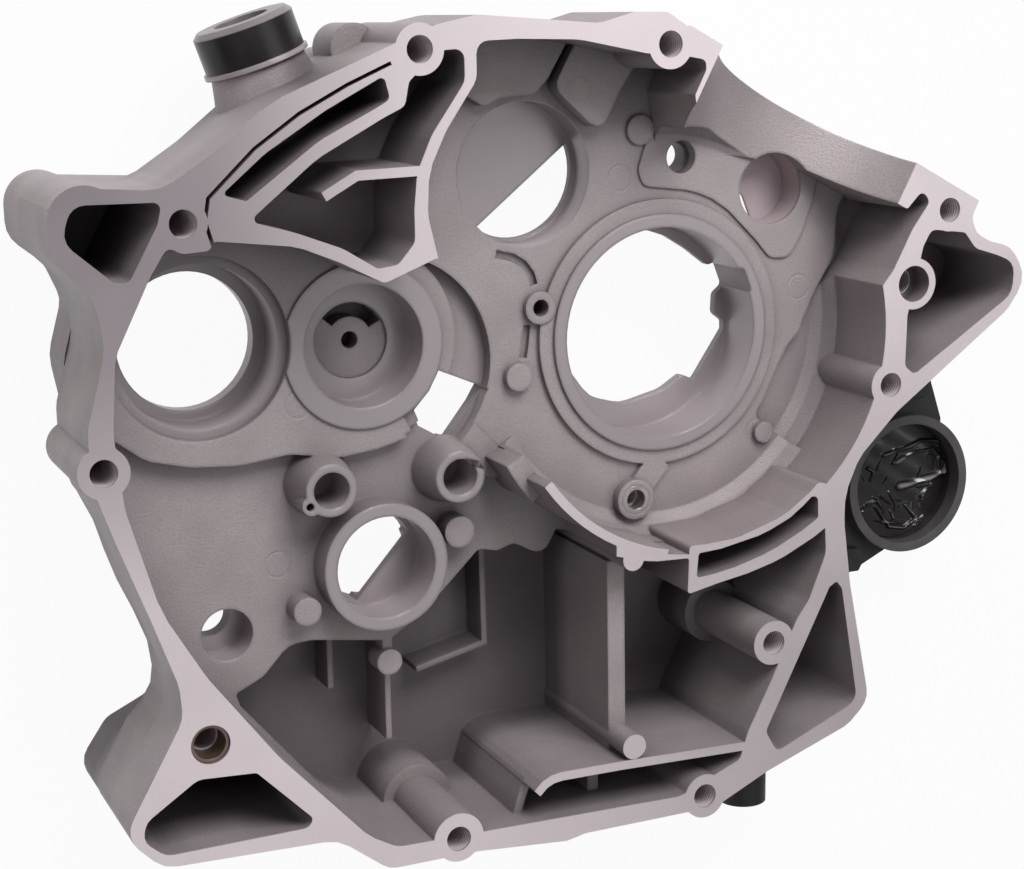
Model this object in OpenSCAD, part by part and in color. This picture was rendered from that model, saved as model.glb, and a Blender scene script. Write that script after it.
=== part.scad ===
// Crankcase half of a small single-cylinder engine, seen from the joint face.
// The origin is on the crank axis, at the face of the crank bearing boss, and Z points out of the joint face.

/* [Case] */
// height of the joint face above the crank boss face
joint_h = 30; // [26:1:36]
// depth of the outer cover face below the crank boss face
back_d = 37; // [34:1:42]
// depth at which the wide outline gives way to the narrow one
step_d = 15; // [12:1:20]
// thickness of the web that carries the bearings
web_t = 7; // [5:0.5:8]
// depth of the web's inner face around the crank boss
web_drop = 3; // [2:0.5:4]
// depth of the gearbox floor round the shift drum
gear_drop = 8; // [6:0.5:9]
// depth of the raised floor round the two gear shafts
shaft_drop = 2; // [1:0.5:3]
// thickness of the outer wall
wall_t = 5; // [4:0.5:6]
// thickness of the sump's closed floor
sump_t = 4; // [3:0.5:6]
// thickness of the inner baffles and chamber walls
rib_t = 3; // [2:0.25:3.5]
// reach of the mounting lug to the gearbox side of the crank axis
lug_reach = 211; // [209:0.5:213]
// diameter of the mounting lug
lug_d = 21; // [20:0.5:22]
// depth of the sump under the crank axis
sump_reach = 161; // [159:0.5:162]

/* [Crank seat] */
// diameter of the crank bearing seat
crank_d = 72; // [68:0.5:74]
// length of the crank bearing seat
crank_l = 19; // [15:0.5:20]
// thickness of the lip that stops the crank bearing
lip_t = 3; // [2:0.5:4]
// diameter of the crank boss face
crank_boss_d = 91; // [86:1:94]
// radius of the flywheel chamber
chamber_r = 70; // [69:0.5:71]

/* [Balancer seat] */
// place of the balancer axis
bal_at = [-49.5, 56]; // [-60:0.5:60]
// diameter of the balancer bearing seat
bal_d = 47; // [42:0.5:48]
// length of the balancer bearing seat
bal_l = 14; // [11:0.5:16]
// wall of the balancer boss
bal_wall = 5; // [4:0.5:6]

/* [Gearbox seats] */
// place of the main shaft axis
main_at = [-107, 4.2]; // [-110:0.5:10]
// diameter of the main shaft bearing seat
main_d = 40; // [35:0.5:42]
// diameter of the raised boss round the main shaft
main_boss_d = 54; // [50:0.5:56]
// height of that boss over the floor
main_boss_h = 1; // [0.5:0.25:2]
// length of the main shaft bearing seat under the floor
main_l = 12; // [9:0.5:13]
// place of the output shaft axis
out_at = [-160.5, 7.5]; // [-160:0.5:10]
// diameter of the output shaft bearing seat
out_d = 52; // [47:0.5:53]
// length of the output shaft bearing seat
out_l = 17; // [14:0.5:18]
// diameter of the seal hole behind the output bearing
out_seal_d = 44.4; // [40:0.2:46]
// place of the shift drum axis
drum_at = [-103, -68.5]; // [-104:0.5:-60]
// diameter of the shift drum bore
drum_d = 34; // [30:0.5:35]
// wall of the shift drum ring
drum_wall = 4.3; // [3:0.1:5]
// height of the shift drum ring's face
drum_h = 3; // [0:0.5:6]
// diameter of the fork shaft bores
fork_d = 12; // [10:0.5:12.5]
// wall of the fork shaft bosses
fork_wall = 2.6; // [2:0.2:3.2]
// height of the fork shaft bosses
fork_h = 7; // [4:0.5:10]
// place of the shift spindle axis
spindle_at = [-154.4, -87.2]; // [-160:0.5:-80]
// diameter of the shift spindle bore
spindle_d = 13; // [11:0.5:14]
// diameter of the shift spindle counterbore
spindle_cb_d = 17.4; // [16:0.2:19]

/* [Joint screws] */
// diameter of the joint screw holes
screw_d = 8.4; // [6.4:0.2:9]
// depth of the joint screw holes
screw_l = 40; // [36:1:44]
// diameter of the joint screw bosses
boss_d = 15.6; // [14:0.2:17]
// diameter of the dowel recesses
dowel_d = 12.4; // [11:0.2:13]
// depth of the dowel recesses
dowel_l = 9; // [6:0.5:12]
// wall of the dowel sleeve
sleeve_t = 1.2; // [1:0.1:1.6]

/* [Cylinder mouth] */
// distance of the cylinder face from the crank axis
deck_r = 87.5; // [85:0.5:90]
// angle of the cylinder axis
deck_a = 61.7; // [60:0.1:63]
// diameter of the cylinder spigot bore
mouth_d = 90; // [86:1:92]
// offset of the spigot bore's axis from the joint face
mouth_up = 14; // [12:0.5:16]

/* [Fittings] */
// diameter of the breather union
union_d = 31.5; // [28:0.5:34]
// length of the breather union
union_l = 14; // [10:0.5:18]
// bore of the breather union
union_bore = 17; // [12:0.5:20]
// place of the starter socket's axis
socket_at = [109.5, -67]; // [-70:0.5:112]
// outer diameter of the starter socket
socket_d = 52; // [48:0.5:54]
// wall of the starter socket
socket_t = 3.4; // [2.6:0.1:4]
// depth of the starter socket's face below the crank boss face
socket_drop = 10; // [8:0.5:14]
// thickness of the starter socket's plate
ear_t = 6; // [5:0.5:7]
// height of the socket's inner floor above the outer cover face
socket_floor = 6; // [4:0.5:8]
// depth of the dust plug under the socket's face
plug_drop = 6; // [4:0.5:8]
// diameter of the starter socket's screws
socket_screw_d = 6; // [5:0.5:6]
// width of the screw heads over their corners
head_d = 10; // [9:0.5:11]
// height of the screw heads
head_h = 4.5; // [3:0.5:5]
// reach of the screws in the case
grip_l = 10; // [8:0.5:11]
// place of the drain foot along the sump
foot_x = 47; // [42:0.5:50]
// diameter of the drain foot
foot_d = 18; // [15:0.5:20]
// length of the drain foot
foot_l = 21.5; // [14:0.5:28]
// height of the drain foot above the outer cover face
foot_up = 13; // [11:0.5:15]

/* [Hidden] */
// pieces drawn apart, one after another
// the piece to draw

// small overlap for cuts
e = 0.5;
// size of the blocks that cut past the case
past = 300;
// width of the slit between the breather wall and the joint face
slit_w = 1.2;
// depth of that slit
slit_d = 12;
// floor height of the breather chamber and the lug pockets
pocket_z = -6;
// centres of the joint screws that stand in the rim
plain_screws = [[-97.8, 97.4], [72.6, -19.5], [0.5, -sump_reach + 4.6], [-90.8, -sump_reach + 6.3],
    [-199.1, -21.1]];
// centres of the joint screws in long inner columns
deep_screws = [[-13.2, 97.1], [94.9, 39.2], [27.2, -105.4]];
// centres of the two dowel holes
dowels = [[81, 14.8], [-171.5, -108.7]];
// the third dowel hole, without a recess
thin_screw = [-172.1, 49.7];
// centres of the fork shafts
forks = [[-122.3, -39.8], [-78.2, -40.1]];
// place of the threaded insert under the crank boss
insert_at = [-10.7, -56.8];
// outer diameter of the threaded insert
insert_d = 10;
// bore of the threaded insert
insert_bore = 6.8;
// length of the threaded insert
insert_l = 6;
// drop of the chamber floor on the right
moat_d = 4;
// width of the machined ring on the crank boss
ring_w = 4.5;
// unit vector along the cylinder axis
deck_n = [cos(deck_a), sin(deck_a)];
// height of the bead round the breather union's foot
bead_h = 1.4;
// place of the breather union's foot and its lean from the Y axis
union_at = [-136.6, 90.8, -5];
union_lean = 19;
// outline of the starter socket's plate
plate_pts = [[122, -29, 3], [127.6, -45.6, 3], [103.7, -92.9, 3], [88.3, -99.9, 3], [76, -105.5, 3], [70, -96, 3],
    [68, -50, 6], [84, -29, 6], [112, -21.5, 3]];
// screws of the starter socket, measured from the socket's axis
socket_ears = [[4, 36], [-23, -27]];
// where the pads of those screws end inside the case's wall
pad_x = [68, 54];
// height of the pads on the case that carry the starter socket
ear_z = -socket_drop - 12;

// how far the spindle's lower bore lies off its counterbore
spindle_off = [-2.8, 3.5];

// outline of the joint face: x, y and corner radius
rim_pts = [[-lug_reach, 62.2, 9.8], [-178, 59.5, 14], [-161, 70.5, 20], [-145, 83.2, 30], [-105, 99.5, 6],
    [-92, 104.6, 6], [-79, 107.2, 8], [-38, 104, 8], [-26, 107.2, 5], [-14, 107, 5], [-7, 102, 3], [8, 110, 1], [112, 52, 1],
    [104, 36, 5], [106.5, 30.5, 5], [112, 27.5, 5], [121, 25.2, 9], [128.5, 14, 11], [120.5, 3, 8],
    [75.5, -29, 14], [60.3, -43.8, 12], [55, -56, 14], [54.8, -66, 20], [57.6, -88, 20], [66.4, -132, 8], [58, -140, 8],
    [25, -151.8, 4], [5, -sump_reach, 4], [-45, -sump_reach - 0.4, 3], [-52, -sump_reach - 1.8, 3],
    [-84, -sump_reach + 0.7, 5], [-115, -sump_reach + 0.6, 8], [-132, -147.2, 14], [-188, -145.8, 10], [-199.5, -134, 8], [-179.6, -99.5, 10],
    [-180.2, -89, 12], [-187.8, -67, 30], [-196.6, -43, 20], [-203, -24, 5], [-203, -8, 8],
    [-196.5, 15, 20], [-199, 30, 14], [-lug_reach, 42, 9.8]];
// the opening below the cylinder mouth
finger_pts = [[60, 5, 1], [72.5, 20, 1], [79.8, 33.5, 3], [86.6, 42.5, 2.2], [83.5, 46.6, 2.2],
    [77.5, 40.5, 1], [66, 46.5, 4], [50, 55, 4], [20, 60, 1], [0, 0, 1]];
// what the lip behind the crank bearing leaves open
lip_pts = [[-27.8, -11.3, 12], [-29.2, 7.5, 12], [-24.5, 22.6, 8], [-9.4, 31.1, 8], [4, 33.2, 8], [11.6, 30.6, 2],
    [20, 25.5, 6], [28, 19.4, 1.5], [31.7, 20.5, 1.5], [35, 12, 2], [31.2, 9, 2.5], [30.8, 2, 2.5], [34.7, -1, 1.5],
    [34.7, -4, 1], [22.9, -21.1, 1], [17.7, -18.8, 2], [10, -23.6, 8], [-5.6, -27.3, 12], [-18.8, -23.5, 12]];
// what is missing from the left wall between the outer side and the joint face's rim
left_pts = [[-216, -31], [-201.5, -31], [-198.5, -35.6], [-193.8, -45.8], [-190.9, -55.9], [-187.4, -66.2],
    [-182.8, -76.7], [-178.9, -87.3], [-177.8, -95.8], [-178.6, -101.5], [-181.9, -107.1], [-188, -113], [-216, -113]];
// height of that step
left_z = 8;
// outline of the outer cover side
back_pts = [[-lug_reach, 61.4, 9.8], [-165, 58.6, 14], [-150, 64.8, 20], [-134, 77.6, 20], [-112, 97, 6],
    [-80, 103, 8], [-30, 103, 4], [8, 110, 1], [112, 52, 1], [98, 28, 8], [112, 14, 6],
    [104, -4, 8], [75, -28, 12], [58.4, -50, 14], [56, -70, 20], [56.8, -88, 20], [64.2, -130, 8],
    [56.8, -138.4, 8], [24, -150.2, 4], [5, -sump_reach + 4, 4], [-115, -sump_reach + 4, 8], [-132, -147.2, 14], [-188, -145.8, 10],
    [-199.5, -134, 8], [-189, -119, 6], [-174, -112, 6], [-171, -100, 6], [-176, -84, 20],
    [-192, -44, 20], [-197, -14, 6], [-200.2, 4, 16], [-195.2, 21.5, 8], [-200, 33, 8], [-lug_reach, 42, 9.8]];
// the crank and balancer side of the inside
top_pts = [[-79.6, 99.4, 4], [-66, 99.8, 10], [-45, 99.2, 20], [-22, 94.5, 6], [-6, 93, 3],
    [-0.6, 92, 2.5], [-0.4, 88.8, 2], [-4.4, 81, 1], [-1, 60, 1], [0, 0, 1], [-60.5, -33.5, 1], [-79, -14, 1], [-93.5, 35, 2], [-96.5, 48, 10],
    [-95.8, 61, 14], [-90, 73, 12], [-79.6, 88, 6]];
// the gearbox side of the inside
gear_pts = [[-93.5, 35, 1], [-111, 28.3, 3], [-125, 35.5, 12], [-138, 41, 16], [-163.5, 44.2, 2],
    [-164.5, 41.5, 2], [-173, 41, 4], [-177, 43.5, 3], [-182.5, 35, 6], [-193.9, 12.5, 10],
    [-195.7, -10, 16], [-193.5, -33, 16], [-184.5, -65, 30], [-171.5, -87.5, 30], [-150, -116.5, 30],
    [-121.5, -148, 14], [-112, -153.4, 8], [-60, -153.6, 1], [-33, -75, 1], [-33, -61, 1], [-40.6, -56, 4],
    [-49, -48.6, 4], [-56.6, -39.6, 4], [-60.8, -33, 1], [-74, 0, 1]];
// the lower gearbox floor
low_pts = [[-212, -8, 1], [-189.2, -18.2, 4], [-179, -26, 8], [-165, -29.5, 16], [-149, -30.6, 16],
    [-133, -28.6, 10], [-116, -31.4, 8], [-103.5, -30, 6], [-90, -26.5, 2], [-84, -31, 3], [-73, -36, 4],
    [-64, -44, 3], [-52, -44, 1], [-30, -60, 1], [-30, -75, 1], [-60, -160, 1], [-212, -160, 1]];
// the deep sump
sump_pts = [[-151, -112, 3], [-152.5, -107.5, 1.5], [-143, -103, 5], [-134, -93.5, 8], [-126, -93, 6],
    [-99, -97, 6], [-86, -88.5, 6], [-66, -69.5, 3], [-59, -71, 3], [-53, -69, 3], [-42, -75, 5],
    [-37, -66, 1], [-20, -70.5, 20], [-6, -71, 1], [-6.5, -83.5, 1], [8, -80.5, 20], [21, -76.5, 20],
    [34, -70.5, 10], [46.8, -61.5, 2],
    [47.6, -76, 8], [41, -92, 6], [36.4, -98, 4], [26.8, -118, 4], [17.3, -136, 5], [14.2, -145.5, 3],
    [4, -149.5, 3], [-9, -sump_reach + 6.2, 6], [-112, -153.4, 8], [-121.5, -148, 14]];
// the breather chamber and its closed slot
breather_pts = [[-83.5, 97.4, 3], [-92, 96.8, 2], [-101.5, 88, 2], [-103, 80.8, 3], [-110, 77.6, 4],
    [-131, 66.5, 20], [-152.5, 49.3, 1.5], [-138, 45, 16], [-124, 39.6, 12], [-113, 32.8, 2],
    [-106.5, 33.6, 3], [-100.8, 40, 4], [-100.8, 50, 8], [-99.6, 61, 12], [-94.6, 72, 12], [-83.5, 87.5, 5]];
slot_pts = [[-160.4, 57.4, 1], [-147, 68.6, 20], [-128, 80.4, 20], [-109.4, 90, 1.5], [-107.6, 83, 2],
    [-112, 80.6, 4], [-130, 71.8, 20], [-153, 55.2, 1]];
// the closed oil slot under the crank: the wall round it and its hollow
oil_pts = [[-5.9, -66.9, 1.5], [5.7, -67.2, 60], [21.2, -64.9, 60], [36.8, -57.4, 60], [44.2, -50.6, 2],
    [49, -52, 1], [48.8, -66, 1], [37.1, -73, 60], [21.3, -78.4, 60], [5.8, -81, 60], [-3, -82, 2.5], [-6.2, -79, 2]];
oil_hole_pts = [[-2.4, -69.8, 1], [13.4, -68.8, 60], [29, -63.9, 60], [36, -60, 30], [41.6, -55.2, 1.5],
    [44, -55.8, 1.5], [44.2, -63.2, 1.5], [33.1, -69.7, 60], [17.4, -75.4, 60], [2, -78, 30], [-3.2, -78.2, 1]];
// the low part of the chamber's floor on the right
moat_pts = [[95, 60, 1], [71, 40, 8], [70, 22, 10], [62.5, 10, 8], [57.7, 0.4, 8], [56.6, -3.8, 3], [51.5, -8.7, 3],
    [48.3, -14, 6], [42.5, -26, 10], [38, -33, 3], [60, -50, 1], [95, -30, 1]];
// the raised land under the cylinder mouth
land_pts = [[-1.3, 80, 1], [-3.2, 70, 6], [-8.1, 55.5, 4], [-6.3, 49.9, 4], [12.1, 47.7, 20], [23.8, 43, 20],
    [37.8, 29.2, 20], [43.3, 22.8, 4], [51, 22.2, 5], [56, 29.8, 10], [60.6, 41.8, 10], [64, 60, 1], [20, 90, 1]];
// the slit outside the breather wall
slit_path = [[-163.6, 43], [-165.6, 50], [-164.4, 56.6], [-150, 70.2], [-136, 79.8], [-121, 87.6],
    [-107, 93.6]];
// the shelf in the breather chamber
shelf_path = [[-97, 61.5], [-118.8, 61], [-129.3, 55.2]];
// place and diameter of the clearance's outer step
clear_at = [-99, -3.8];
clear_d = 72.8;
// shallow grooves in the floor between the balancer and the crank boss
grooves = [[[-60, 30.5], [-54, 29], [-50, 26.5], [-47.4, 23], [-46.4, 19.4]], [[-49.2, 6.2], [-50, -0.4], [-50.8, -4.6]]];
// the window in the stepped clearance
window_pts = [[-80.2, -6.7], [-83.7, -13.1], [-89.2, -19], [-86.7, -25], [-76.3, -31.2], [-66.9, -19.5],
    [-63.5, -14]];
// pockets that lighten the lugs
lug_pts = [[-lug_reach + 3.8, 46.5, 6], [-lug_reach + 7, 56.6, 5.5], [-178, 56.2, 2], [-179.5, 50, 3], [-188.6, 33.8, 2.5],
    [-193, 34, 2.5]];
foot_pts = [[-192.4, -130, 5], [-176, -119.2, 5], [-157.5, -120.2, 2], [-139.6, -138.6, 3],
    [-141.6, -141.3, 3], [-187, -142, 6], [-194, -136, 5]];
right_lug_pts = [[84.4, 27.4, 2.5], [87.6, 33, 3], [101.5, 31.2, 2], [106.2, 25.4, 4], [115.5, 22.5, 6],
    [123, 19.4, 7], [122.2, 8.4, 7], [82, -16.8, 2.5], [78.2, -13.4, 2.5], [78.6, 4, 4]];
right_low_pts = [[49.3, -88.4, 1.2], [52.2, -86.6, 1.2], [54.4, -89.6, 2], [61.6, -131.6, 5], [29, -145.2, 2.5],
    [24.4, -137, 3]];
// ledges along the top wall
ledge_pts = [[-84, 101, 1], [-76, 84, 6], [-70.2, 81.2, 3], [-65.4, 78.3, 3], [-59.8, 80.9, 4], [-47.5, 81.9, 3],
    [-43, 86.4, 4], [-35, 99.5, 1], [-34, 101, 1]];
block_pts = [[-32, 101, 1], [-33.6, 98.4, 2], [-41.6, 84, 4], [-37.4, 79.6, 2], [-28.9, 72, 3], [-26, 70.6, 2],
    [-23.4, 71.8, 2], [-17.9, 82.2, 20], [-9.4, 94, 3], [-8, 101, 1]];
// the baffle over the pump pick-up
baffle_path = [[-62.6, -144.2], [-59.9, -141.6], [-57, -140.2], [-53.6, -139.7], [-32, -139.8], [17.5, -141]];
// the wall that closes the baffle towards the gearbox
closing_path = [[-61.6, -142.6], [-64.2, -149.8], [-66.4, -157]];

// rounded outline from x, y and corner radius: each corner becomes an arc in even steps
function unit(v) = v / norm(v);
function corner(a, b, c) =
    let (u = unit([a.x - b.x, a.y - b.y]), v = unit([c.x - b.x, c.y - b.y]))
    let (half = acos(min(max(u * v, -1), 1)) / 2)
    let (reach = min(b.z / tan(half), 0.49 * norm([a.x - b.x, a.y - b.y]), 0.49 * norm([c.x - b.x, c.y - b.y])))
    let (r = reach * tan(half), mid = [b.x, b.y] + unit(u + v) * r / sin(half))
    let (from = [b.x, b.y] + u * reach - mid, turn = 180 - 2 * half)
    let (way = sign(u.x * v.y - u.y * v.x) > 0 ? -1 : 1, n = max(1, ceil(turn / 24)))
    [for (i = [0:n]) mid + [from.x * cos(way * turn * i / n) - from.y * sin(way * turn * i / n),
        from.x * sin(way * turn * i / n) + from.y * cos(way * turn * i / n)]];
function rounded(p) =
    [for (i = [0:len(p) - 1]) each corner(p[(i + len(p) - 1) % len(p)], p[i], p[(i + 1) % len(p)])];
// a band of even width along a path
function side(p, i, w) =
    let (a = i > 0 ? unit(p[i] - p[i - 1]) : unit(p[1] - p[0]))
    let (b = i < len(p) - 1 ? unit(p[i + 1] - p[i]) : a)
    let (m = unit(a + b))
    p[i] + [-m.y, m.x] * w / 2 / (m * a);
function band(p, w) =
    concat([for (i = [0:len(p) - 1]) side(p, i, w)], [for (i = [len(p) - 1:-1:0]) side(p, i, -w)]);

module slab(z0, z1, pts) {
    translate([0, 0, z0])
        linear_extrude(z1 - z0)
            polygon(pts);
}

module rod(at, z0, z1, d, fn = 48) {
    translate([at.x, at.y, z0])
        cylinder(h = z1 - z0, d = d, $fn = fn);
}

module sector(r0, r1, a0, a1, z0, z1) {
    translate([0, 0, z0])
        rotate([0, 0, a0])
            rotate_extrude(angle = a1 - a0, $fn = 96)
                translate([r0, 0])
                    square([r1 - r0, z1 - z0]);
}

// the solid outlines before anything is hollowed out
module outer_form() {
    difference() {
        slab(-step_d, joint_h, rounded(rim_pts));
        slab(-step_d - e, left_z, left_pts);
    }
    slab(-back_d, -step_d, rounded(back_pts));
    for (p = plain_screws) rod(p, -step_d, joint_h, boss_d);
    for (p = deep_screws) rod(p, -step_d, joint_h, boss_d);
    rod([-107.5, 97.5], -step_d - 3, -e, boss_d);
    // the boss of the breather union flares into the top wall
    translate(union_at)
        rotate([0, 0, union_lean])
            rotate([90, 0, 0])
                translate([0, 0, -3])
                    cylinder(h = 22, d1 = union_d - 2, d2 = union_d + 8, $fn = 64);
    // the seat of the drain foot
    translate([foot_x, -sump_reach + 21, -back_d + foot_up])
        rotate([90, 0, 0])
            cylinder(h = 24, d = foot_d + 4, $fn = 48);
}

module flywheel_chamber() {
    translate([0, 0, -web_drop])
        rotate_extrude($fn = 128)
            polygon([[0, 0], [chamber_r - 7, 0], [chamber_r - 3, 2], [chamber_r, 7],
                [chamber_r, joint_h + web_drop + e], [0, joint_h + web_drop + e]]);
}

module cylinder_mouth() {
    translate([deck_n.x, deck_n.y, 0] * 50 + [deck_n.y, -deck_n.x, 0] * 2 + [0, 0, joint_h + mouth_up])
        rotate([0, 90, deck_a])
            cylinder(h = deck_r, d = mouth_d, $fn = 96);
}

module beyond_deck() {
    rotate([0, 0, deck_a])
        translate([deck_r, -past / 2, -back_d - e])
            cube([past, past, joint_h + back_d + 2 * e]);
}

// everything that is open towards the joint face
module inside() {
    flywheel_chamber();
    cylinder_mouth();
    slab(-web_drop, joint_h + e, rounded(top_pts));
    slab(-shaft_drop, joint_h + e, rounded(gear_pts));
    intersection() {
        slab(-gear_drop, joint_h + e, rounded(gear_pts));
        slab(-gear_drop - e, joint_h + e, rounded(low_pts));
    }
    slab(-back_d + sump_t, joint_h + e, rounded(sump_pts));
    slab(pocket_z, joint_h + e, rounded(breather_pts));
    slab(pocket_z + 4, joint_h + e, rounded(slot_pts));
    slab(joint_h - slit_d, joint_h + e, band(slit_path, slit_w));
    slab(-back_d + sump_t, joint_h + e, rounded(lug_pts));
    slab(-back_d + sump_t, joint_h + e, rounded(foot_pts));
    slab(-step_d + sump_t, joint_h + e, rounded(right_lug_pts));
    slab(-step_d + sump_t, joint_h + e, rounded(right_low_pts));
    // stepped clearance for a gear round the main shaft, open to the outer side at one place
    translate([main_at.x, main_at.y, 0])
        sector(main_boss_d / 2 + 0.3, 33.4, -62, 58, -shaft_drop - 3, 0);
    intersection() {
        translate([main_at.x, main_at.y, 0])
            sector(33, 52, -66, 50, -gear_drop, 0);
        rod(clear_at, -gear_drop - e, 0, clear_d, 96);
    }
    slab(-back_d, 0, window_pts);
    for (p = grooves) slab(-web_drop - 1.6, 0, band(p, 2.6));
    // below the cylinder mouth, with a short finger beside the joint face
    slab(-web_drop, joint_h + e, rounded(finger_pts));
    // the floor drops a little further on the right
    intersection() {
        union() {
            translate([0, 0, -moat_d])
                flywheel_chamber();
            slab(-web_drop - moat_d, joint_h, rounded(finger_pts));
        }
        slab(-web_drop - moat_d - e, joint_h - 2, rounded(moat_pts));
    }
}

// the magneto and sprocket side, open towards the outer cover
module outside() {
    difference() {
        translate([0, 0, -back_d - e])
            linear_extrude(back_d - gear_drop - web_t + e)
                offset(delta = -wall_t)
                    polygon(rounded(back_pts));
        // the sump stays a closed box
        translate([0, 0, -back_d - 2 * e])
            linear_extrude(back_d + 2 * e)
                offset(delta = wall_t)
                    polygon(rounded(sump_pts));
        // the lugs and the foot stay closed as well
        translate([0, 0, -back_d - 2 * e]) {
            linear_extrude(back_d)
                offset(delta = wall_t)
                    polygon(rounded(lug_pts));
            linear_extrude(back_d)
                offset(delta = wall_t)
                    polygon(rounded(foot_pts));
        }
        // a full wall carries the cylinder face
        rotate([0, 0, deck_a])
            translate([deck_r - wall_t - 1, -past / 2, -back_d - 2 * e])
                cube([past, past, back_d]);
        // bearing bosses reach down into the hollow
        rod([0, 0], -crank_l - lip_t, 0, crank_boss_d - 4, 96);
        rod(bal_at, -bal_l - 2.5, 0, bal_d + 2 * bal_wall, 64);
        rod(main_at, -shaft_drop - main_l - 14, 0, main_d + 8, 64);
        rod(out_at, -shaft_drop - out_l - 6, 0, out_d + 8, 64);
        rod(drum_at, -gear_drop - web_t - 6, 0, drum_d + 8, 64);
        rod(spindle_at + spindle_off / 2, -gear_drop - web_t - 10, 0, spindle_cb_d + 8);
        for (p = forks) rod(p, -gear_drop - web_t - 5, 0, fork_d + 7);
        for (p = plain_screws) rod(p, -back_d, 0, boss_d);
        for (p = deep_screws) rod(p, -back_d, 0, boss_d);
        for (p = dowels) rod(p, -back_d, 0, boss_d + 3);
    }
}

// what stands up from the floors
module inner_forms() {
    // the crank boss and its screw bosses
    rod([0, 0], -web_drop - e, -1.2, crank_boss_d, 128);
    rod([0, 0], -web_drop - e, 0, crank_d + 2 * ring_w, 128);
    rod(insert_at, -web_drop - e, 1, 14);
    slab(-web_drop - e, -web_drop + 0.8, rounded(land_pts));
    rod([-45.1, 11.9], -web_drop - e, -0.6, 11);
    rod([41.1, -38.7], -web_drop - e, -1, 7.4);
    rod([-53.4, -10.5], -web_drop - e, 0, 9.4);
    slab(-web_drop - e, -1.2, band([[0, -44], insert_at], 9));
    // the curved wall between the flywheels and the gears, with its tee-shaped end
    sector(chamber_r - 1.5, chamber_r + rib_t - 1.5, -145, -101.5, -gear_drop - e, joint_h);
    sector(chamber_r - 2, chamber_r + 5, -151, -139, -gear_drop - e, 16);
    sector(chamber_r - 0.5, chamber_r + rib_t - 0.5, -104, -90, -gear_drop - e, 13);
    rod([-26.8, -68.9], -back_d + sump_t - e, joint_h, 7.6);
    // the wall round the closed oil slot
    slab(-back_d + sump_t - e, joint_h, rounded(oil_pts));
    // the partition and the baffle in the sump
    slab(-back_d + sump_t - e, joint_h - 12, band([[-27.4, -72], [-27.1, -140]], 6.4));
    slab(-back_d + sump_t - e, joint_h, band(baffle_path, rib_t));
    slab(-back_d + sump_t - e, joint_h - 10, band(closing_path, rib_t));
    rod([-26.6, -134], -back_d + sump_t - e, joint_h, 8.6);
    slab(-back_d + sump_t - e, 12, band([[-33.5, -141], [-33.5, -156]], 4));
    // the stepped screw column on the sump wall
    rod(plain_screws[3], -back_d + sump_t - e, -7, 25);
    rod(plain_screws[3], -7 - e, joint_h, 17.4);
    // long screw columns in the sump and beside the crank
    rod(deep_screws[2], -back_d + sump_t - e, joint_h, boss_d);
    rod(deep_screws[2], -back_d + sump_t - e, -12, boss_d + 7.4);
    rod(deep_screws[0], -web_drop - e, joint_h, boss_d);
    rod(plain_screws[0], pocket_z - e, joint_h, boss_d);
    rod(plain_screws[1], -gear_drop, joint_h, boss_d);
    rod(plain_screws[2], -back_d + sump_t - e, joint_h, boss_d);
    rod(plain_screws[4], -gear_drop - e, joint_h, boss_d);
    rod(deep_screws[1], -step_d - e, joint_h, boss_d - 1);
    rod(dowels[0], -step_d - e, joint_h, boss_d + 2);
    rod(thin_screw, -gear_drop - e, joint_h, boss_d - 1);
    // the breather shelf
    slab(pocket_z - e, joint_h, band(shelf_path, rib_t));
    // ledges along the top wall
    slab(-web_drop - e, 2, rounded(ledge_pts));
    slab(-web_drop - e, 4, rounded(block_pts));
    rod([-7.3, 68.6], -web_drop - e, -1.6, 10);
    // the gearbox bosses
    rod(main_at, -shaft_drop - e, -shaft_drop + main_boss_h, main_boss_d, 96);
    rod(drum_at, -gear_drop - web_t - 6, drum_h, drum_d + 2 * drum_wall, 64);
    for (p = forks)
        translate([p.x, p.y, -gear_drop - e])
            cylinder(h = fork_h + gear_drop + e, d1 = fork_d + 2 * fork_wall + 5.5, d2 = fork_d + 2 * fork_wall,
                $fn = 64);
    rod([-128.9, -44], -gear_drop - e, fork_h, 6.6, 32);
    rod([-129.5, -80.7], -gear_drop - e, 0, 9.4);
    rod([-75.9, -60.6], -gear_drop - e, 0, 10.6);
    rod([-99.7, -104], -gear_drop - web_t, -gear_drop + 2, 8.8);
    slab(-gear_drop - web_t, -gear_drop, band([[-99.7, -94], [-99.7, -104]], 3.5));
    // thin ribs on the sump's far floor
    slab(-back_d + sump_t - e, -14, band([[-97.8, -96], [-97.8, -134]], 2));
    slab(-back_d + sump_t - e, -20, band([[-60, -72], [-59.4, -107], [-85, -113]], 2));
    slab(-back_d + sump_t - e, -20, band([[-116, -92], [-116, -115]], 2));
}

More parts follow.
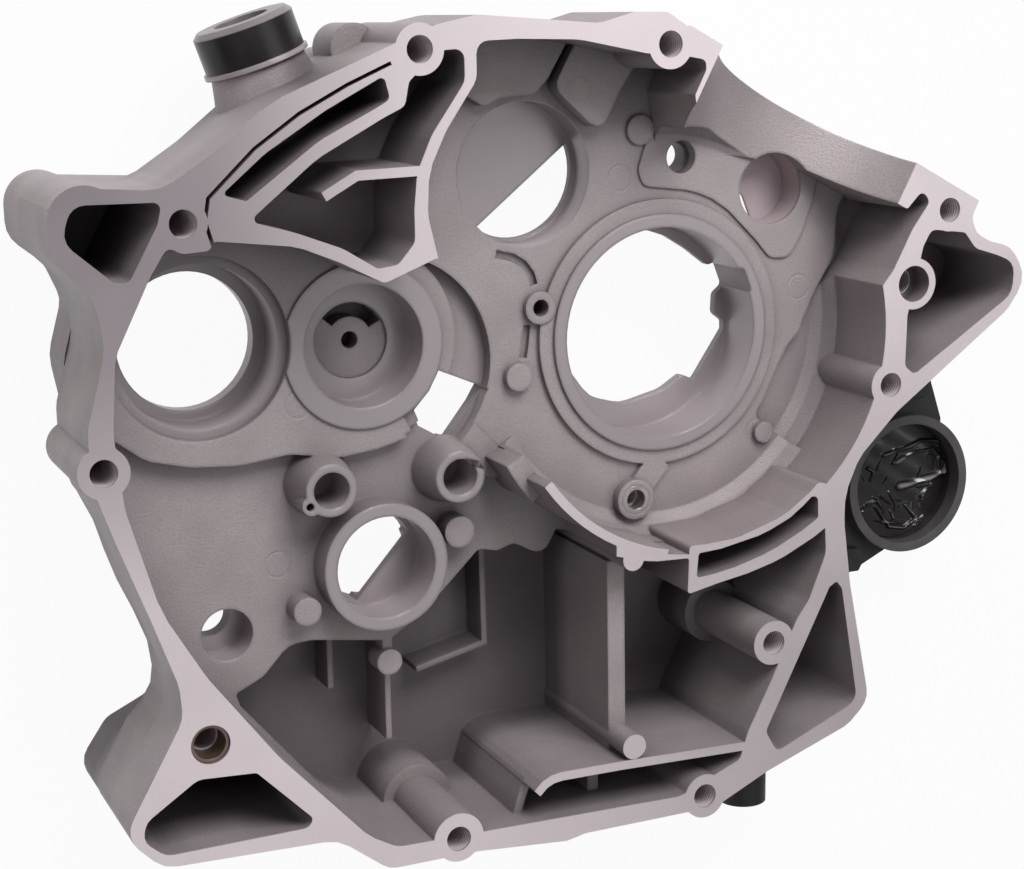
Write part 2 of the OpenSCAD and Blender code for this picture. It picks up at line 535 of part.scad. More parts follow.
// bearing seats, holes and windows
module openings() {
    rod([0, 0], -crank_l, e, crank_d, 128);
    slab(-back_d, 0, rounded(lip_pts));
    rod([0, 0], -back_d, -crank_l - lip_t, crank_d, 128);
    rod(bal_at, -bal_l, joint_h, bal_d, 96);
    // the balancer's floor is open beyond a straight edge
    intersection() {
        rod(bal_at, -back_d - e, -bal_l + e, bal_d - 3, 96);
        translate([bal_at.x, bal_at.y, -back_d - e])
            rotate([0, 0, 38.5])
                translate([-40, -60, 0])
                    cube([80, 54, back_d]);
    }
    rod(main_at, -shaft_drop - main_l, e, main_d, 96);
    rod(main_at, -shaft_drop - main_l - 1.5, e, 25, 64);
    rod(main_at, -shaft_drop - main_l - 11, e, 5.6);
    translate([main_at.x, main_at.y, -shaft_drop - main_l - 11])
        rotate([0, 0, 28])
            rotate_extrude(angle = 112, $fn = 64)
                translate([7.6, 0])
                    square([4.6, 11]);
    rod(out_at, -shaft_drop - 3, e, out_d + 6, 96);
    rod(out_at, -shaft_drop - out_l, e, out_d, 96);
    rod(out_at, -back_d - e, e, out_seal_d, 96);
    rod(drum_at, -gear_drop - web_t + 2, joint_h, drum_d, 96);
    // the drum bore has a thin floor that is open on one side
    rod(drum_at, -back_d - e, -gear_drop - web_t - 1, drum_d - 5, 64);
    intersection() {
        rod(drum_at, -back_d - e, 0, drum_d - 3, 96);
        translate([drum_at.x, drum_at.y, -back_d - e])
            rotate([0, 0, 48])
                translate([-30, -6, 0])
                    cube([60, 40, back_d]);
    }
    rod(spindle_at + spindle_off, -back_d - e, -gear_drop - 10, spindle_d);
    rod(spindle_at, -gear_drop - 11, joint_h, spindle_cb_d);
    for (p = forks) rod(p, -gear_drop - 3, joint_h, fork_d);
    rod([-129.6, -44.4], -gear_drop, joint_h, 2.6, 24);
    slab(fork_h - 4, joint_h, band([[-76.6, -35.2], [-69.4, -37.4]], 2.4));
    rod([8.2, 59], -back_d, joint_h, 9.2);
    rod([8.2, 59], -web_drop - 5, joint_h, 11);
    rod([-45.1, 11.9], -10, joint_h, 5.6, 24);
    slab(0, joint_h + e, rounded(oil_hole_pts));
    // the round recess with a narrow gap at its lower left
    rod([43.2, 46.8], -gear_drop - web_t + 1, joint_h, 24.6, 64);
    intersection() {
        rod([43.2, 46.8], -back_d - e, joint_h, 24.6, 64);
        slab(-back_d - e, 0, [[26, 47.8], [34.8, 47.8], [39.2, 43.4], [43, 34.1], [41, 28], [30, 28]]);
    }
    // screw holes
    for (p = concat(plain_screws, deep_screws, dowels, [thin_screw])) rod(p, joint_h - screw_l, joint_h + e, screw_d);
    for (p = dowels) rod(p, joint_h - dowel_l, joint_h + e, dowel_d);
    rod(insert_at, 1 - insert_l, 2, insert_d);
    rod(insert_at, -12, 2, insert_bore - 0.8);
}

// the mounting lug and the pads of the starter socket
module outer_lugs() {
    rod([-lug_reach + lug_d / 2, 51.7], -back_d, joint_h, lug_d, 64);
    for (i = [0:1]) {
        at = socket_at + socket_ears[i];
        slab(-back_d, ear_z, rounded([[at.x + 8, at.y + 8, 4], [at.x + 8, at.y - 8, 4],
            [pad_x[i], at.y - socket_ears[i].y * 0.2 - 10, 1], [pad_x[i], at.y - socket_ears[i].y * 0.2 + 10, 1]]));
    }
}

module crankcase() {
    color([0.62, 0.59, 0.6])
        difference() {
            union() {
                difference() {
                    outer_form();
                    inside();
                    outside();
                }
                intersection() {
                    inner_forms();
                    union() {
                        slab(-step_d, joint_h, rounded(rim_pts));
                        slab(-back_d, -step_d, rounded(back_pts));
                        for (p = plain_screws) rod(p, -step_d, joint_h, boss_d);
                        for (p = deep_screws) rod(p, -step_d, joint_h, boss_d);
                    }
                }
                outer_lugs();
            }
            openings();
            beyond_deck();
            // the lug pocket again, through the lug's own rod
            slab(-back_d + sump_t, joint_h + e, rounded(lug_pts));
            for (p = socket_ears) rod(socket_at + p, ear_z - grip_l - 2, ear_z + e, socket_screw_d - 1, 24);
            translate(union_at)
                rotate([0, 0, union_lean])
                    rotate([90, 0, 0])
                        translate([0, 0, -4])
                            cylinder(h = 30, d = union_bore - 1, $fn = 48);
            translate([foot_x, -sump_reach + 11, -back_d + foot_up])
                rotate([90, 0, 0])
                    cylinder(h = 15, d = foot_d - 6, $fn = 36);
        }
}

// the turned breather union in its boss
module breather_union() {
    color([0.16, 0.16, 0.17])
        translate(union_at)
            rotate([0, 0, union_lean])
                rotate([-90, 0, 0])
                    translate([0, 0, 3])
                        difference() {
                            union() {
                                cylinder(h = union_l - 1.5, d = union_d, $fn = 64);
                                cylinder(h = bead_h, d = union_d + 1.6, $fn = 64);
                                translate([0, 0, union_l - 1.5])
                                    cylinder(h = 1.5, d1 = union_d, d2 = union_d - 3, $fn = 64);
                            }
                            translate([0, 0, -e])
                                cylinder(h = union_l + 2 * e, d = union_bore, $fn = 48);
                        }
}

// the sleeve in the lower dowel recess, a little below the joint face
module dowel_sleeve() {
    color([0.5, 0.42, 0.34])
        difference() {
            rod(dowels[1], joint_h - dowel_l, joint_h - 1, dowel_d);
            rod(dowels[1], joint_h - dowel_l - e, joint_h, dowel_d - 2 * sleeve_t);
        }
}

// the steel thread under the crank boss
module retainer_insert() {
    color([0.75, 0.74, 0.72])
        difference() {
            rod(insert_at, 1 - insert_l, 1, insert_d);
            rod(insert_at, -insert_l, 2, insert_bore);
        }
}

// the black socket beside the case
module starter_socket() {
    color([0.1, 0.1, 0.11])
        difference() {
            union() {
                rod(socket_at, -back_d + 2, -socket_drop, socket_d, 96);
                slab(ear_z, ear_z + ear_t, rounded(plate_pts));
            }
            rod(socket_at, -back_d + socket_floor, -socket_drop + e, socket_d - 2 * socket_t, 96);
            for (p = socket_ears) rod(socket_at + p, ear_z - e, ear_z + ear_t + e, socket_screw_d + 0.6, 32);
        }
}

// the screws that hold the socket
module socket_screws() {
    color([0.3, 0.3, 0.31])
        for (p = socket_ears) {
            rod(socket_at + p, ear_z + ear_t, ear_z + ear_t + head_h, head_d, 6);
            rod(socket_at + p, ear_z - grip_l, ear_z + ear_t + e, socket_screw_d - 1, 32);
        }
}

// the thin plug pressed into the socket against dust
module dust_plug() {
    color([0.05, 0.05, 0.05])
        rod(socket_at, -back_d + socket_floor, -socket_drop - plug_drop, socket_d - 2 * socket_t, 96);
}

// the black foot under the sump
module drain_foot() {
    color([0.12, 0.12, 0.12])
        translate([foot_x, -sump_reach - 3, -back_d + foot_up])
            rotate([90, 0, 0])
                cylinder(h = foot_l, d = foot_d, $fn = 48);
}

crankcase();
breather_union();
dowel_sleeve();
retainer_insert();
starter_socket();
socket_screws();
dust_plug();
drain_foot();
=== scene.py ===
# %% [markdown]
# Dressing a crankcase half
#
# The solids of this casting come from a CAD program and arrive here as one
# fixed frame. This lesson gives them their surfaces: rough cast skin, milled
# faces, black fittings, and a crumpled film in the socket. The camera and the
# light come first, because every later choice is judged through them.

# %% The frame from CAD
import math
import bpy
import numpy as np
from mathutils import Matrix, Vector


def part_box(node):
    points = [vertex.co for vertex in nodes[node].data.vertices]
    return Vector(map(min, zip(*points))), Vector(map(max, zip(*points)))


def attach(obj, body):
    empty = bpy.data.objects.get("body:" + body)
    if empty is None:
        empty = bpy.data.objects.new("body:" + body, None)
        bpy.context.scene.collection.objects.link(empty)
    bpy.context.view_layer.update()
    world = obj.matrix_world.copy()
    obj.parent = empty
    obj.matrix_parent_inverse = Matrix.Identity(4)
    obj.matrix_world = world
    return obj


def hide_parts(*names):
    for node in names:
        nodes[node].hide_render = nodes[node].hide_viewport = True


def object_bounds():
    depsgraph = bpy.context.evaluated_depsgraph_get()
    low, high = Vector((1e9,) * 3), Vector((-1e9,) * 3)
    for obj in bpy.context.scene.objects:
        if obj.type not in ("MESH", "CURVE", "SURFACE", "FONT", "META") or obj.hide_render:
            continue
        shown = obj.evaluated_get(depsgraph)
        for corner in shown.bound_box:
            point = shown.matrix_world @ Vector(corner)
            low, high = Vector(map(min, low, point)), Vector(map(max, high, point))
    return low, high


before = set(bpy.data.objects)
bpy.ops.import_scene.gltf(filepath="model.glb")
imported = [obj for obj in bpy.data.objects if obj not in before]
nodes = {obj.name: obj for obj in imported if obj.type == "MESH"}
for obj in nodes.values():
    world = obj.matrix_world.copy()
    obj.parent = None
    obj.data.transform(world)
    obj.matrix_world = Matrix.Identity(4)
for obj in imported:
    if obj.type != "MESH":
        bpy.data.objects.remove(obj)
cad_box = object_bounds()
MM = 0.001
print("nodes:", sorted(nodes))
print("box:", [[round(v, 4) for v in corner] for corner in cad_box])

# %% [markdown]
# The part lies on its outer face and the camera looks down on it. Its place
# was worked out from the ellipses of the bearing seats, so it is written as
# three directions (right, up, back) and a point, which Blender takes as the
# columns of one matrix. That is exact, where aiming at a target would lose
# the small roll of the real camera.

# %% Camera
CAMERA_RIGHT = (0.91298509, -0.01508584, 0.40771391)
CAMERA_UP = (0.09890675, 0.97769106, -0.18530419)
CAMERA_BACK = (-0.39582278, 0.20950562, 0.89410946)
CAMERA_AT = (-0.31923, 0.10954, 0.59342)
FRAME_WIDTH = 1024
FOCAL_PIXELS = 2000
SENSOR = 36.0


def camera_at(right, up, back, at):
    """A camera whose matrix has the three directions as columns and the place as the fourth."""
    data = bpy.data.cameras.new("photo_camera")
    data.sensor_width = SENSOR
    data.lens = SENSOR * FOCAL_PIXELS / FRAME_WIDTH
    data.clip_end = 20
    camera = bpy.data.objects.new("photo_camera", data)
    columns = np.eye(4)
    columns[:3] = np.array([right, up, back, at]).T
    camera.matrix_world = Matrix(columns.tolist())
    bpy.context.scene.collection.objects.link(camera)
    return camera


scene = bpy.context.scene
scene.camera = camera_at(CAMERA_RIGHT, CAMERA_UP, CAMERA_BACK, CAMERA_AT)
scene.view_settings.view_transform = "Standard"
print("lens:", round(scene.camera.data.lens, 2), "mm")

# %% [markdown]
# Materials are written as formulas. A node graph can be clicked together, but
# a formula such as (r - 36) / 0.2 is easier to read and to change. So one
# small class stands for a value in the graph, and its operators add the Math
# nodes. Everything else goes through the one method called add.

# %% Writing materials as formulas


class Signal:
    """One value in a material; writing a + b or 1 - a adds the Math node that works it out."""

    def __init__(self, paint, socket):
        self.paint = paint
        self.socket = socket

    def math(self, operation, *others):
        return self.paint.add("ShaderNodeMath", {"operation": operation}, [self, *others])

    def __add__(self, other):
        return self.math("ADD", other)

    def __sub__(self, other):
        return self.math("SUBTRACT", other)

    def __mul__(self, other):
        return self.math("MULTIPLY", other)

    def __truediv__(self, other):
        return self.math("DIVIDE", other)

    def __rsub__(self, other):
        return self.paint.add("ShaderNodeMath", {"operation": "SUBTRACT"}, [other, self])

    def __rtruediv__(self, other):
        return self.paint.add("ShaderNodeMath", {"operation": "DIVIDE"}, [other, self])

    __radd__ = __add__
    __rmul__ = __mul__

    def clamp(self):
        """The value held between 0 and 1."""
        return self.paint.add("ShaderNodeClamp", {}, [self, 0.0, 1.0])


class Paint:
    """One material and its Principled shader."""

    def __init__(self, name):
        self.material = bpy.data.materials.new(name)
        self.material.use_nodes = True
        self.tree = self.material.node_tree
        self.shader = self.tree.nodes["Principled BSDF"]

    def add(self, kind, settings, values, out=0):
        """Adds a node: its settings, then a value or a link for each socket, by place or name."""
        node = self.tree.nodes.new(kind)
        for name, value in settings.items():
            setattr(node, name, value)
        pairs = values.items() if isinstance(values, dict) else enumerate(values)
        for place, value in pairs:
            if value is not None:
                self.put(node.inputs[place], value)
        return Signal(self, node.outputs[out])

    def put(self, socket, value):
        """Links a signal to a socket, or sets a plain value on it."""
        if isinstance(value, Signal):
            self.tree.links.new(value.socket, socket)
        elif hasattr(socket.default_value, "__len__"):
            socket.default_value = (*value, 1.0)[: len(socket.default_value)]
        else:
            socket.default_value = value

    def mix(self, share, one, two):
        """Colour one where share is 0, and colour two where it is 1."""
        node = self.tree.nodes.new("ShaderNodeMix")
        node.data_type = "RGBA"
        for place, value in ((0, share), (6, one), (7, two)):
            self.put(node.inputs[place], value)
        return Signal(self, node.outputs[2])

    def surface(self, **sockets):
        """Sets the shader's sockets; an underscore in a name stands for a space."""
        for name, value in sockets.items():
            self.put(self.shader.inputs[name.replace("_", " ")], value)


def srgb(red, green, blue):
    """A colour read off a screen, 0 to 255, as the linear numbers that Blender mixes."""
    parts = np.array([red, green, blue]) / 255
    return tuple(np.where(parts <= 0.04045, parts / 12.92, ((parts + 0.055) / 1.055) ** 2.4))


print("mid grey is", [round(float(v), 3) for v in srgb(128, 128, 128)])

# %% [markdown]
# The background of a catalogue photograph is pure white, and it shows through
# the bearing seats too. The floor therefore shows the camera mostly its own
# white, while the light that reaches the casting comes from the lamps alone.
# A small share of ordinary floor stays in the mix, and keeps a soft shadow.

# %% Floor and world
FLOOR_GAP = 0.0002
FLOOR_Z = cad_box[0][2] - FLOOR_GAP
FLOOR_HALF = 6.0
FLOOR_WHITE = srgb(200, 198, 199)
FLOOR_SHADOW = 0.05
WORLD_LIGHT = 0.17


def seen_directly(paint):
    """1 for rays from the eye, a mirror or glass, and 0 for light that fills the scene."""
    path = paint.tree.nodes.new("ShaderNodeLightPath")
    eye, glossy, through = (
        Signal(paint, path.outputs[name])
        for name in ("Is Camera Ray", "Is Glossy Ray", "Is Transmission Ray")
    )
    return (eye + glossy + through).clamp()


def white_floor(z):
    """A wide square just under the part, white to the eye with a faint shadow."""
    mesh = bpy.data.meshes.new("floor")
    h = FLOOR_HALF
    mesh.from_pydata([(-h, -h, z), (h, -h, z), (h, h, z), (-h, h, z)], [], [(0, 1, 2, 3)])
    floor = bpy.data.objects.new("floor", mesh)
    scene.collection.objects.link(floor)
    paint = Paint("floor_white")
    paint.surface(Base_Color=FLOOR_WHITE, Roughness=0.9)
    glow = paint.add("ShaderNodeEmission", {}, [(1.0, 1.0, 1.0), 1.0])
    share = seen_directly(paint) * (1 - FLOOR_SHADOW)
    both = paint.add(
        "ShaderNodeMixShader", {}, [share, Signal(paint, paint.shader.outputs[0]), glow]
    )
    paint.put(paint.tree.nodes["Material Output"].inputs["Surface"], both)
    mesh.materials.append(paint.material)
    return floor


def white_world(light):
    """A world that lights at one strength and looks white to the eye."""
    world = bpy.data.worlds.new("studio")
    scene.world = world
    world.use_nodes = True
    tree = world.node_tree
    background = tree.nodes["Background"]
    path = tree.nodes.new("ShaderNodeLightPath")
    strength = tree.nodes.new("ShaderNodeMix")
    strength.inputs[2].default_value = light
    strength.inputs[3].default_value = 1.0
    tree.links.new(path.outputs["Is Camera Ray"], strength.inputs[0])
    tree.links.new(strength.outputs[0], background.inputs["Strength"])
    background.inputs["Color"].default_value = (1.0, 1.0, 1.0, 1.0)
    return world


white_floor(FLOOR_Z)
white_world(WORLD_LIGHT)
print("floor at", round(FLOOR_Z, 4), "m")

# %% [markdown]
# The light rakes over the part. A broad lamp stands above the top edge, so
# every wall that faces up the picture is bright, and the pockets fall off to
# black. A second panel hangs on the right. Nobody sees it, but the milled
# face mirrors it, and that is why the face grows lighter to the top right. A
# third does the same for the foot, and fills the walls that face down the
# picture. A weak lamp on the left keeps the outer wall from sinking away.

# %% Lamps
CENTRE = (-0.04, -0.03, 0.0)
# each lamp: its place in metres, the side of its square, and its watts
LAMPS = {
    "top": ((0.06, 0.92, 0.78), 0.7, 18),
    "right": ((0.62, 0.1, 1.05), 0.7, 2.1),
    "low": ((0.12, -0.62, 1.1), 0.8, 1.8),
    "left": ((-0.95, 0.2, 0.65), 0.6, 1.8),
}


def soft_box(name, at, size, watts):
    """A square area lamp that faces the middle of the part."""
    data = bpy.data.lights.new(name, "AREA")
    data.size = size
    data.energy = watts
    lamp = bpy.data.objects.new(name, data)
    back = np.array(at) - np.array(CENTRE)
    back /= np.linalg.norm(back)
    right = np.cross((0.0, 1.0, 0.0), back)
    right /= np.linalg.norm(right)
    columns = np.eye(4)
    columns[:3] = np.array([right, np.cross(back, right), back, at]).T
    lamp.matrix_world = Matrix(columns.tolist())
    scene.collection.objects.link(lamp)
    return lamp


lamps = [soft_box(name, *values) for name, values in LAMPS.items()]
print("lamps:", [lamp.name for lamp in lamps])

# %% [markdown]
# One casting carries two quite different surfaces: the skin left by the die,
# and the faces cut by a mill or a boring bar. They need no separate meshes,
# because each cut face lies at a known place. A mask is 1 there and 0
# elsewhere, worked out from Object coordinates in millimetres: how near z is
# to a plane, or how near the distance from an axis is to a radius.

# %% Where the casting was machined
JOINT_Z = 30.0
# the cylinder face: the direction of its axis, and its distance from the crank
DECK_ANGLE = math.radians(61.7)
DECK_R = 87.5
# each seat: its axis, radius, bottom, top, and the radius of the faced ring round it
SEATS = {
    "crank": (0.0, 0.0, 36.0, -19.0, 0.0, 40.7),
    "balancer": (-49.5, 56.0, 23.5, -14.0, -3.0, 23.5),
    "main": (-107.0, 4.2, 20.0, -14.0, -1.0, 27.2),
    "output": (-160.5, 7.5, 26.0, -19.0, -2.0, 29.2),
    "seal": (-160.5, 7.5, 22.2, -25.0, -19.0, 26.0),
    "drum": (-103.0, -68.5, 17.0, -13.0, 3.0, 21.5),
    "spindle": (-154.4, -87.2, 8.7, -19.0, -8.0, 8.7),
    "fork_left": (-122.3, -39.8, 6.0, -11.0, 7.0, 8.8),
    "fork_right": (-78.2, -40.1, 6.0, -11.0, 7.0, 8.8),
}
# the axes of the screw holes, and last that of the threaded insert
SCREWS = [
    (-97.8, 97.4), (72.6, -19.5), (0.5, -156.4), (-90.8, -154.7), (-199.1, -21.1),
    (-13.2, 97.1), (94.9, 39.2), (27.2, -105.4), (81.0, 14.8), (-171.5, -108.7), (-172.1, 49.7),
    (-10.7, -56.8),
]
SCREW_R = 4.2
SCREW_SPARE = 0.35
MOUTH_DEPTH = 0.5
# the round marks that the ejector pins of the die left on the floors
PIN_MARKS = [
    (-136.4, -66.0), (55.5, 11.7), (-14.5, 52.9), (-32.6, 83.1), (-129.6, -13.1), (39.4, -38.2),
]
PIN_R = 4.2
PIN_GROOVE = 0.5
# how far round a cut wall or face its mask reaches
SPARE = 0.2
WALL_REACH = 0.3


class Places:
    """Object coordinates in millimetres, and masks that are built on them."""

    def __init__(self, paint):
        self.paint = paint
        coords = paint.tree.nodes.new("ShaderNodeTexCoord")
        self.point = Signal(paint, coords.outputs["Object"])
        split = paint.tree.nodes.new("ShaderNodeSeparateXYZ")
        paint.tree.links.new(coords.outputs["Object"], split.inputs[0])
        self.x, self.y, self.z = (Signal(paint, split.outputs[i]) * 1000 for i in range(3))

    def radius(self, x, y):
        """The distance from an upright axis."""
        across = self.x - x
        along = self.y - y
        return (across * across + along * along).math("SQRT")

    def near(self, value, level, reach=0.25):
        """1 where value is within half a reach of level, falling to 0 at one reach."""
        return (2 - (value - level).math("ABSOLUTE") / (reach / 2)).clamp()

    def below(self, value, level, soft=0.2):
        """1 below the level and 0 above it, over a short slope."""
        return ((level - value) / soft + 0.5).clamp()

    def above(self, value, level, soft=0.2):
        """1 above the level and 0 below it, over a short slope."""
        return ((value - level) / soft + 0.5).clamp()


def either(*masks):
    """The largest of several masks."""
    found = masks[0]
    for mask in masks[1:]:
        found = found.math("MAXIMUM", mask)
    return found


def seat_masks(places, x, y, r, low, high, faced):
    """Of one seat: the bored wall, and the flat faces at its bottom and top."""
    away = places.radius(x, y)
    tall = places.above(places.z, low - SPARE) * places.below(places.z, high + SPARE)
    wall = places.near(away, r, WALL_REACH) * tall
    flat = places.near(places.z, low) * places.below(away, r + SPARE)
    if faced > r:
        flat = either(flat, places.near(places.z, high) * places.below(away, faced))
    return wall, flat


def faced_mask(places):
    """The joint face and the cylinder face, which a mill has cut bright."""
    along = places.x * math.cos(DECK_ANGLE) + places.y * math.sin(DECK_ANGLE)
    return either(places.near(places.z, JOINT_Z), places.near(along, DECK_R))


def bored_masks(places):
    """The walls and the faces of all seats together."""
    walls, flats = zip(*(seat_masks(places, *seat) for seat in SEATS.values()))
    return either(*walls), either(*flats)


def screw_wall_mask(places):
    """The walls of the screw holes, from a little under the joint face."""
    reach = SCREW_R + SCREW_SPARE
    holes = either(*(places.below(places.radius(x, y), reach) for x, y in SCREWS))
    return holes * places.below(places.z, JOINT_Z - MOUTH_DEPTH)


def pin_mark_height(places):
    """A fine groove round each ejector mark."""
    grooves = (places.near(places.radius(x, y), PIN_R, PIN_GROOVE) for x, y in PIN_MARKS)
    return either(*grooves) * -1.0


print("machined seats:", ", ".join(SEATS))

# %% [markdown]
# Die-cast aluminium is a mauve grey with a fine grain. Its hollows are painted
# darker, a painted shade for the light they lose. An Ambient Occlusion node finds
# those: it is low where the surface is shut in by its own walls. Milled faces
# are lighter and smoother. Real castings have no sharp corner anywhere, so a
# Bevel node rounds the shading across each edge, which costs no triangles.
# The milled faces keep their crisp edge, so they take the plain normal.

# %% Colours of the casting
CAST_COLOUR = srgb(160, 151, 153)
CAST_STAIN = srgb(132, 123, 125)
# painted shade, laid on the hollows, the bottom of the sump and round the union's foot
PAINTED_SHADE_COLOUR = srgb(84, 77, 79)
FACED_COLOUR = srgb(214, 203, 207)
SHADED_FACE_COLOUR = srgb(150, 141, 146)
BORED_COLOUR = srgb(150, 142, 145)
WALL_COLOUR = srgb(160, 150, 153)
RECESS_COLOUR = srgb(172, 158, 162)
# painted highlight and painted shade of the thread flanks
THREAD_HIGHLIGHT = srgb(232, 222, 226)
THREAD_SHADE = srgb(120, 112, 115)
THREAD_PITCH = 1.25
# painted shade, each with its place and the width over which it fades, in millimetres
SUMP_SHADE_Z, SUMP_SHADE_Y, SUMP_SHADE_FADE = -18.0, -72.0, 12.0
FACE_SHADE_X, FACE_SHADE_X_FADE = -135.0, 60.0
FACE_SHADE_Y, FACE_SHADE_Y_FADE = -25.0, 70.0
UNION_SHADE_AT, UNION_SHADE_R, UNION_SHADE_FADE = (-129.0, 91.0), 9.0, 12.0
# the round recess in the chamber: its axis, its radius and the height of its rim
RECESS_AT, RECESS_R, RECESS_Z = (43.2, 46.8), 12.5, -3.4
# how far the Ambient Occlusion node looks for a wall, in metres
HOLLOW_REACH = 0.018


def noise(paint, places, scale, detail):
    """Cloudy noise with a mean near a half; scale is in cells per metre."""
    return paint.add(
        "ShaderNodeTexNoise", {}, {"Vector": places.point, "Scale": scale, "Detail": detail}
    )


def spread(cloud, contrast, middle):
    """Noise with more contrast round another middle, held between 0 and 1."""
    return ((cloud - 0.5) * contrast + middle).clamp()


def skin_colour(paint, cloud, fine):
    """Die skin, mottled in broad clouds and in grains."""
    skin = paint.mix(spread(cloud, 2.4, 0.4) * 0.55, CAST_COLOUR, CAST_STAIN)
    return paint.mix(spread(fine, 3.5, 0.3) * 0.4, skin, CAST_STAIN)


def joint_colour(paint, places, fine):
    """Milled metal, bright, with painted shade towards the upper left."""
    bright = paint.mix(spread(fine, 1.6, 0.3) * 0.2, FACED_COLOUR, CAST_COLOUR)
    # painted shade on the milled face towards the upper left
    left = places.below(places.x, FACE_SHADE_X, FACE_SHADE_X_FADE)
    face_shade = left * places.above(places.y, FACE_SHADE_Y, FACE_SHADE_Y_FADE)
    return paint.mix(face_shade * 0.8, bright, SHADED_FACE_COLOUR)


def thread_light_and_shade(paint, places):
    """Bands of painted highlight and painted shade, one pair to each turn of the thread."""
    turn = (places.z * (2 * math.pi / THREAD_PITCH)).math("SINE")
    return paint.mix((turn * 0.5 + 0.5) * 0.75, THREAD_HIGHLIGHT, THREAD_SHADE)


def painted_shade_mask(paint, places):
    """Painted shade: where the casting is shut in by its own walls, and at the bottom of the sump.
    """
    open_air = paint.add(
        "ShaderNodeAmbientOcclusion",
        {"samples": 1, "only_local": True},
        {"Distance": HOLLOW_REACH},
        1,
    )
    hollow = ((1 - open_air) * 2.0 - 0.5).clamp()
    sump_shade = places.below(places.z, SUMP_SHADE_Z, SUMP_SHADE_FADE) * places.below(places.y, SUMP_SHADE_Y, SUMP_SHADE_FADE)
    return either(hollow, sump_shade * 0.9)


print("thread bands every", THREAD_PITCH, "mm")

# %% [markdown]
# The masks and colours now meet in one material. Each mix lays a colour over
# what came before, so the order runs from the skin to the last cut. The grain
# is a bump 0.14 mm deep, and it fades where a tool has been.

# %% Cast alloy
CLOUD_SCALE = 38.0
GRAIN_SCALE = 1400.0
GRAIN_DEPTH = 0.00014
PIN_SHARE = 0.6
ROUNDING = 0.0014


def cast_normal(paint, height, strength, faced):
    """Bump over a normal that is rounded at the edges, except on the milled faces."""
    rounded = paint.add("ShaderNodeBevel", {"samples": 2}, {"Radius": ROUNDING})
    plain = paint.add("ShaderNodeNewGeometry", {}, {}, "Normal")
    normal = paint.add(
        "ShaderNodeMix", {"data_type": "VECTOR"}, {0: faced, 4: rounded, 5: plain}, 1
    )
    values = {"Strength": strength, "Distance": GRAIN_DEPTH, "Height": height, "Normal": normal}
    return paint.add("ShaderNodeBump", {}, values)


def cast_alloy():
    """Cast skin, milled faces and bored seats in one material."""
    paint = Paint("cast_alloy")
    places = Places(paint)
    cloud = noise(paint, places, CLOUD_SCALE, 2.0)
    fine = noise(paint, places, GRAIN_SCALE, 2.0)
    faced = faced_mask(places)
    walls, flats = bored_masks(places)
    cut = either(faced, either(walls, flats))
    union_shade = places.below(places.radius(*UNION_SHADE_AT), UNION_SHADE_R, UNION_SHADE_FADE)
    recess = places.below(places.radius(*RECESS_AT), RECESS_R) * places.below(places.z, RECESS_Z)

    colour = paint.mix(flats, skin_colour(paint, cloud, fine), BORED_COLOUR)
    colour = paint.mix(walls, colour, WALL_COLOUR)
    # painted shade in the hollows and at the bottom of the sump
    colour = paint.mix(painted_shade_mask(paint, places) * (1 - cut) * 0.8, colour, PAINTED_SHADE_COLOUR)
    # painted shade round the foot of the union
    colour = paint.mix(union_shade * 0.8, colour, PAINTED_SHADE_COLOUR)
    # the threads drawn as bands of painted highlight and shade
    colour = paint.mix(screw_wall_mask(places), colour, thread_light_and_shade(paint, places))
    colour = paint.mix(recess, colour, RECESS_COLOUR)
    colour = paint.mix(faced, colour, joint_colour(paint, places, fine))
    height = fine + pin_mark_height(places) * PIN_SHARE
    paint.surface(
        Base_Color=colour,
        Roughness=0.56 - cut * 0.2 + (cloud - 0.5) * 0.14,
        Metallic=0.3 + faced * 0.5 + flats * 0.15,
        Normal=cast_normal(paint, height, 1 - cut * 0.93, faced),
    )
    return paint.material


def dress(name, material):
    """Gives a CAD node one material, in place of whatever its slots held."""
    mesh = nodes[name].data
    mesh.materials.clear()
    mesh.materials.append(material)


dress("crankcase", cast_alloy())
print("crankcase dressed")

# %% [markdown]
# The fittings are small and dark, and what shows them is their highlights.
# Each has its own gloss: the union is blackened steel, the socket a matt
# moulding, and the foot is rubber. A zone is a place on a fitting that has
# another colour, such as the bare end face of the union.

# %% Fittings
UNION_FOOT = (-136.6, 90.8)
UNION_LEAN = math.radians(19)
UNION_BEAD = (3.0, 4.5)
UNION_FACE = 15.3
SOCKET_PLATE_Z = -15.8
EDGE_ROUNDING = 0.0006
LIGHT_STEEL = srgb(176, 166, 170)
PLATE_BLACK = srgb(38, 34, 35)


def union_light_zone(places):
    """The bead at the union's foot, lighter, and its bare end face, by the distance up its axis."""
    across = (places.x - UNION_FOOT[0]) * -math.sin(UNION_LEAN)
    along = across + (places.y - UNION_FOOT[1]) * math.cos(UNION_LEAN)
    bead = places.above(along, UNION_BEAD[0]) * places.below(along, UNION_BEAD[1])
    return either(bead * 0.8, places.above(along, UNION_FACE) * 0.45)


def socket_low(places):
    """The plate and the foot of the socket, under its ring."""
    return places.below(places.z, SOCKET_PLATE_Z)


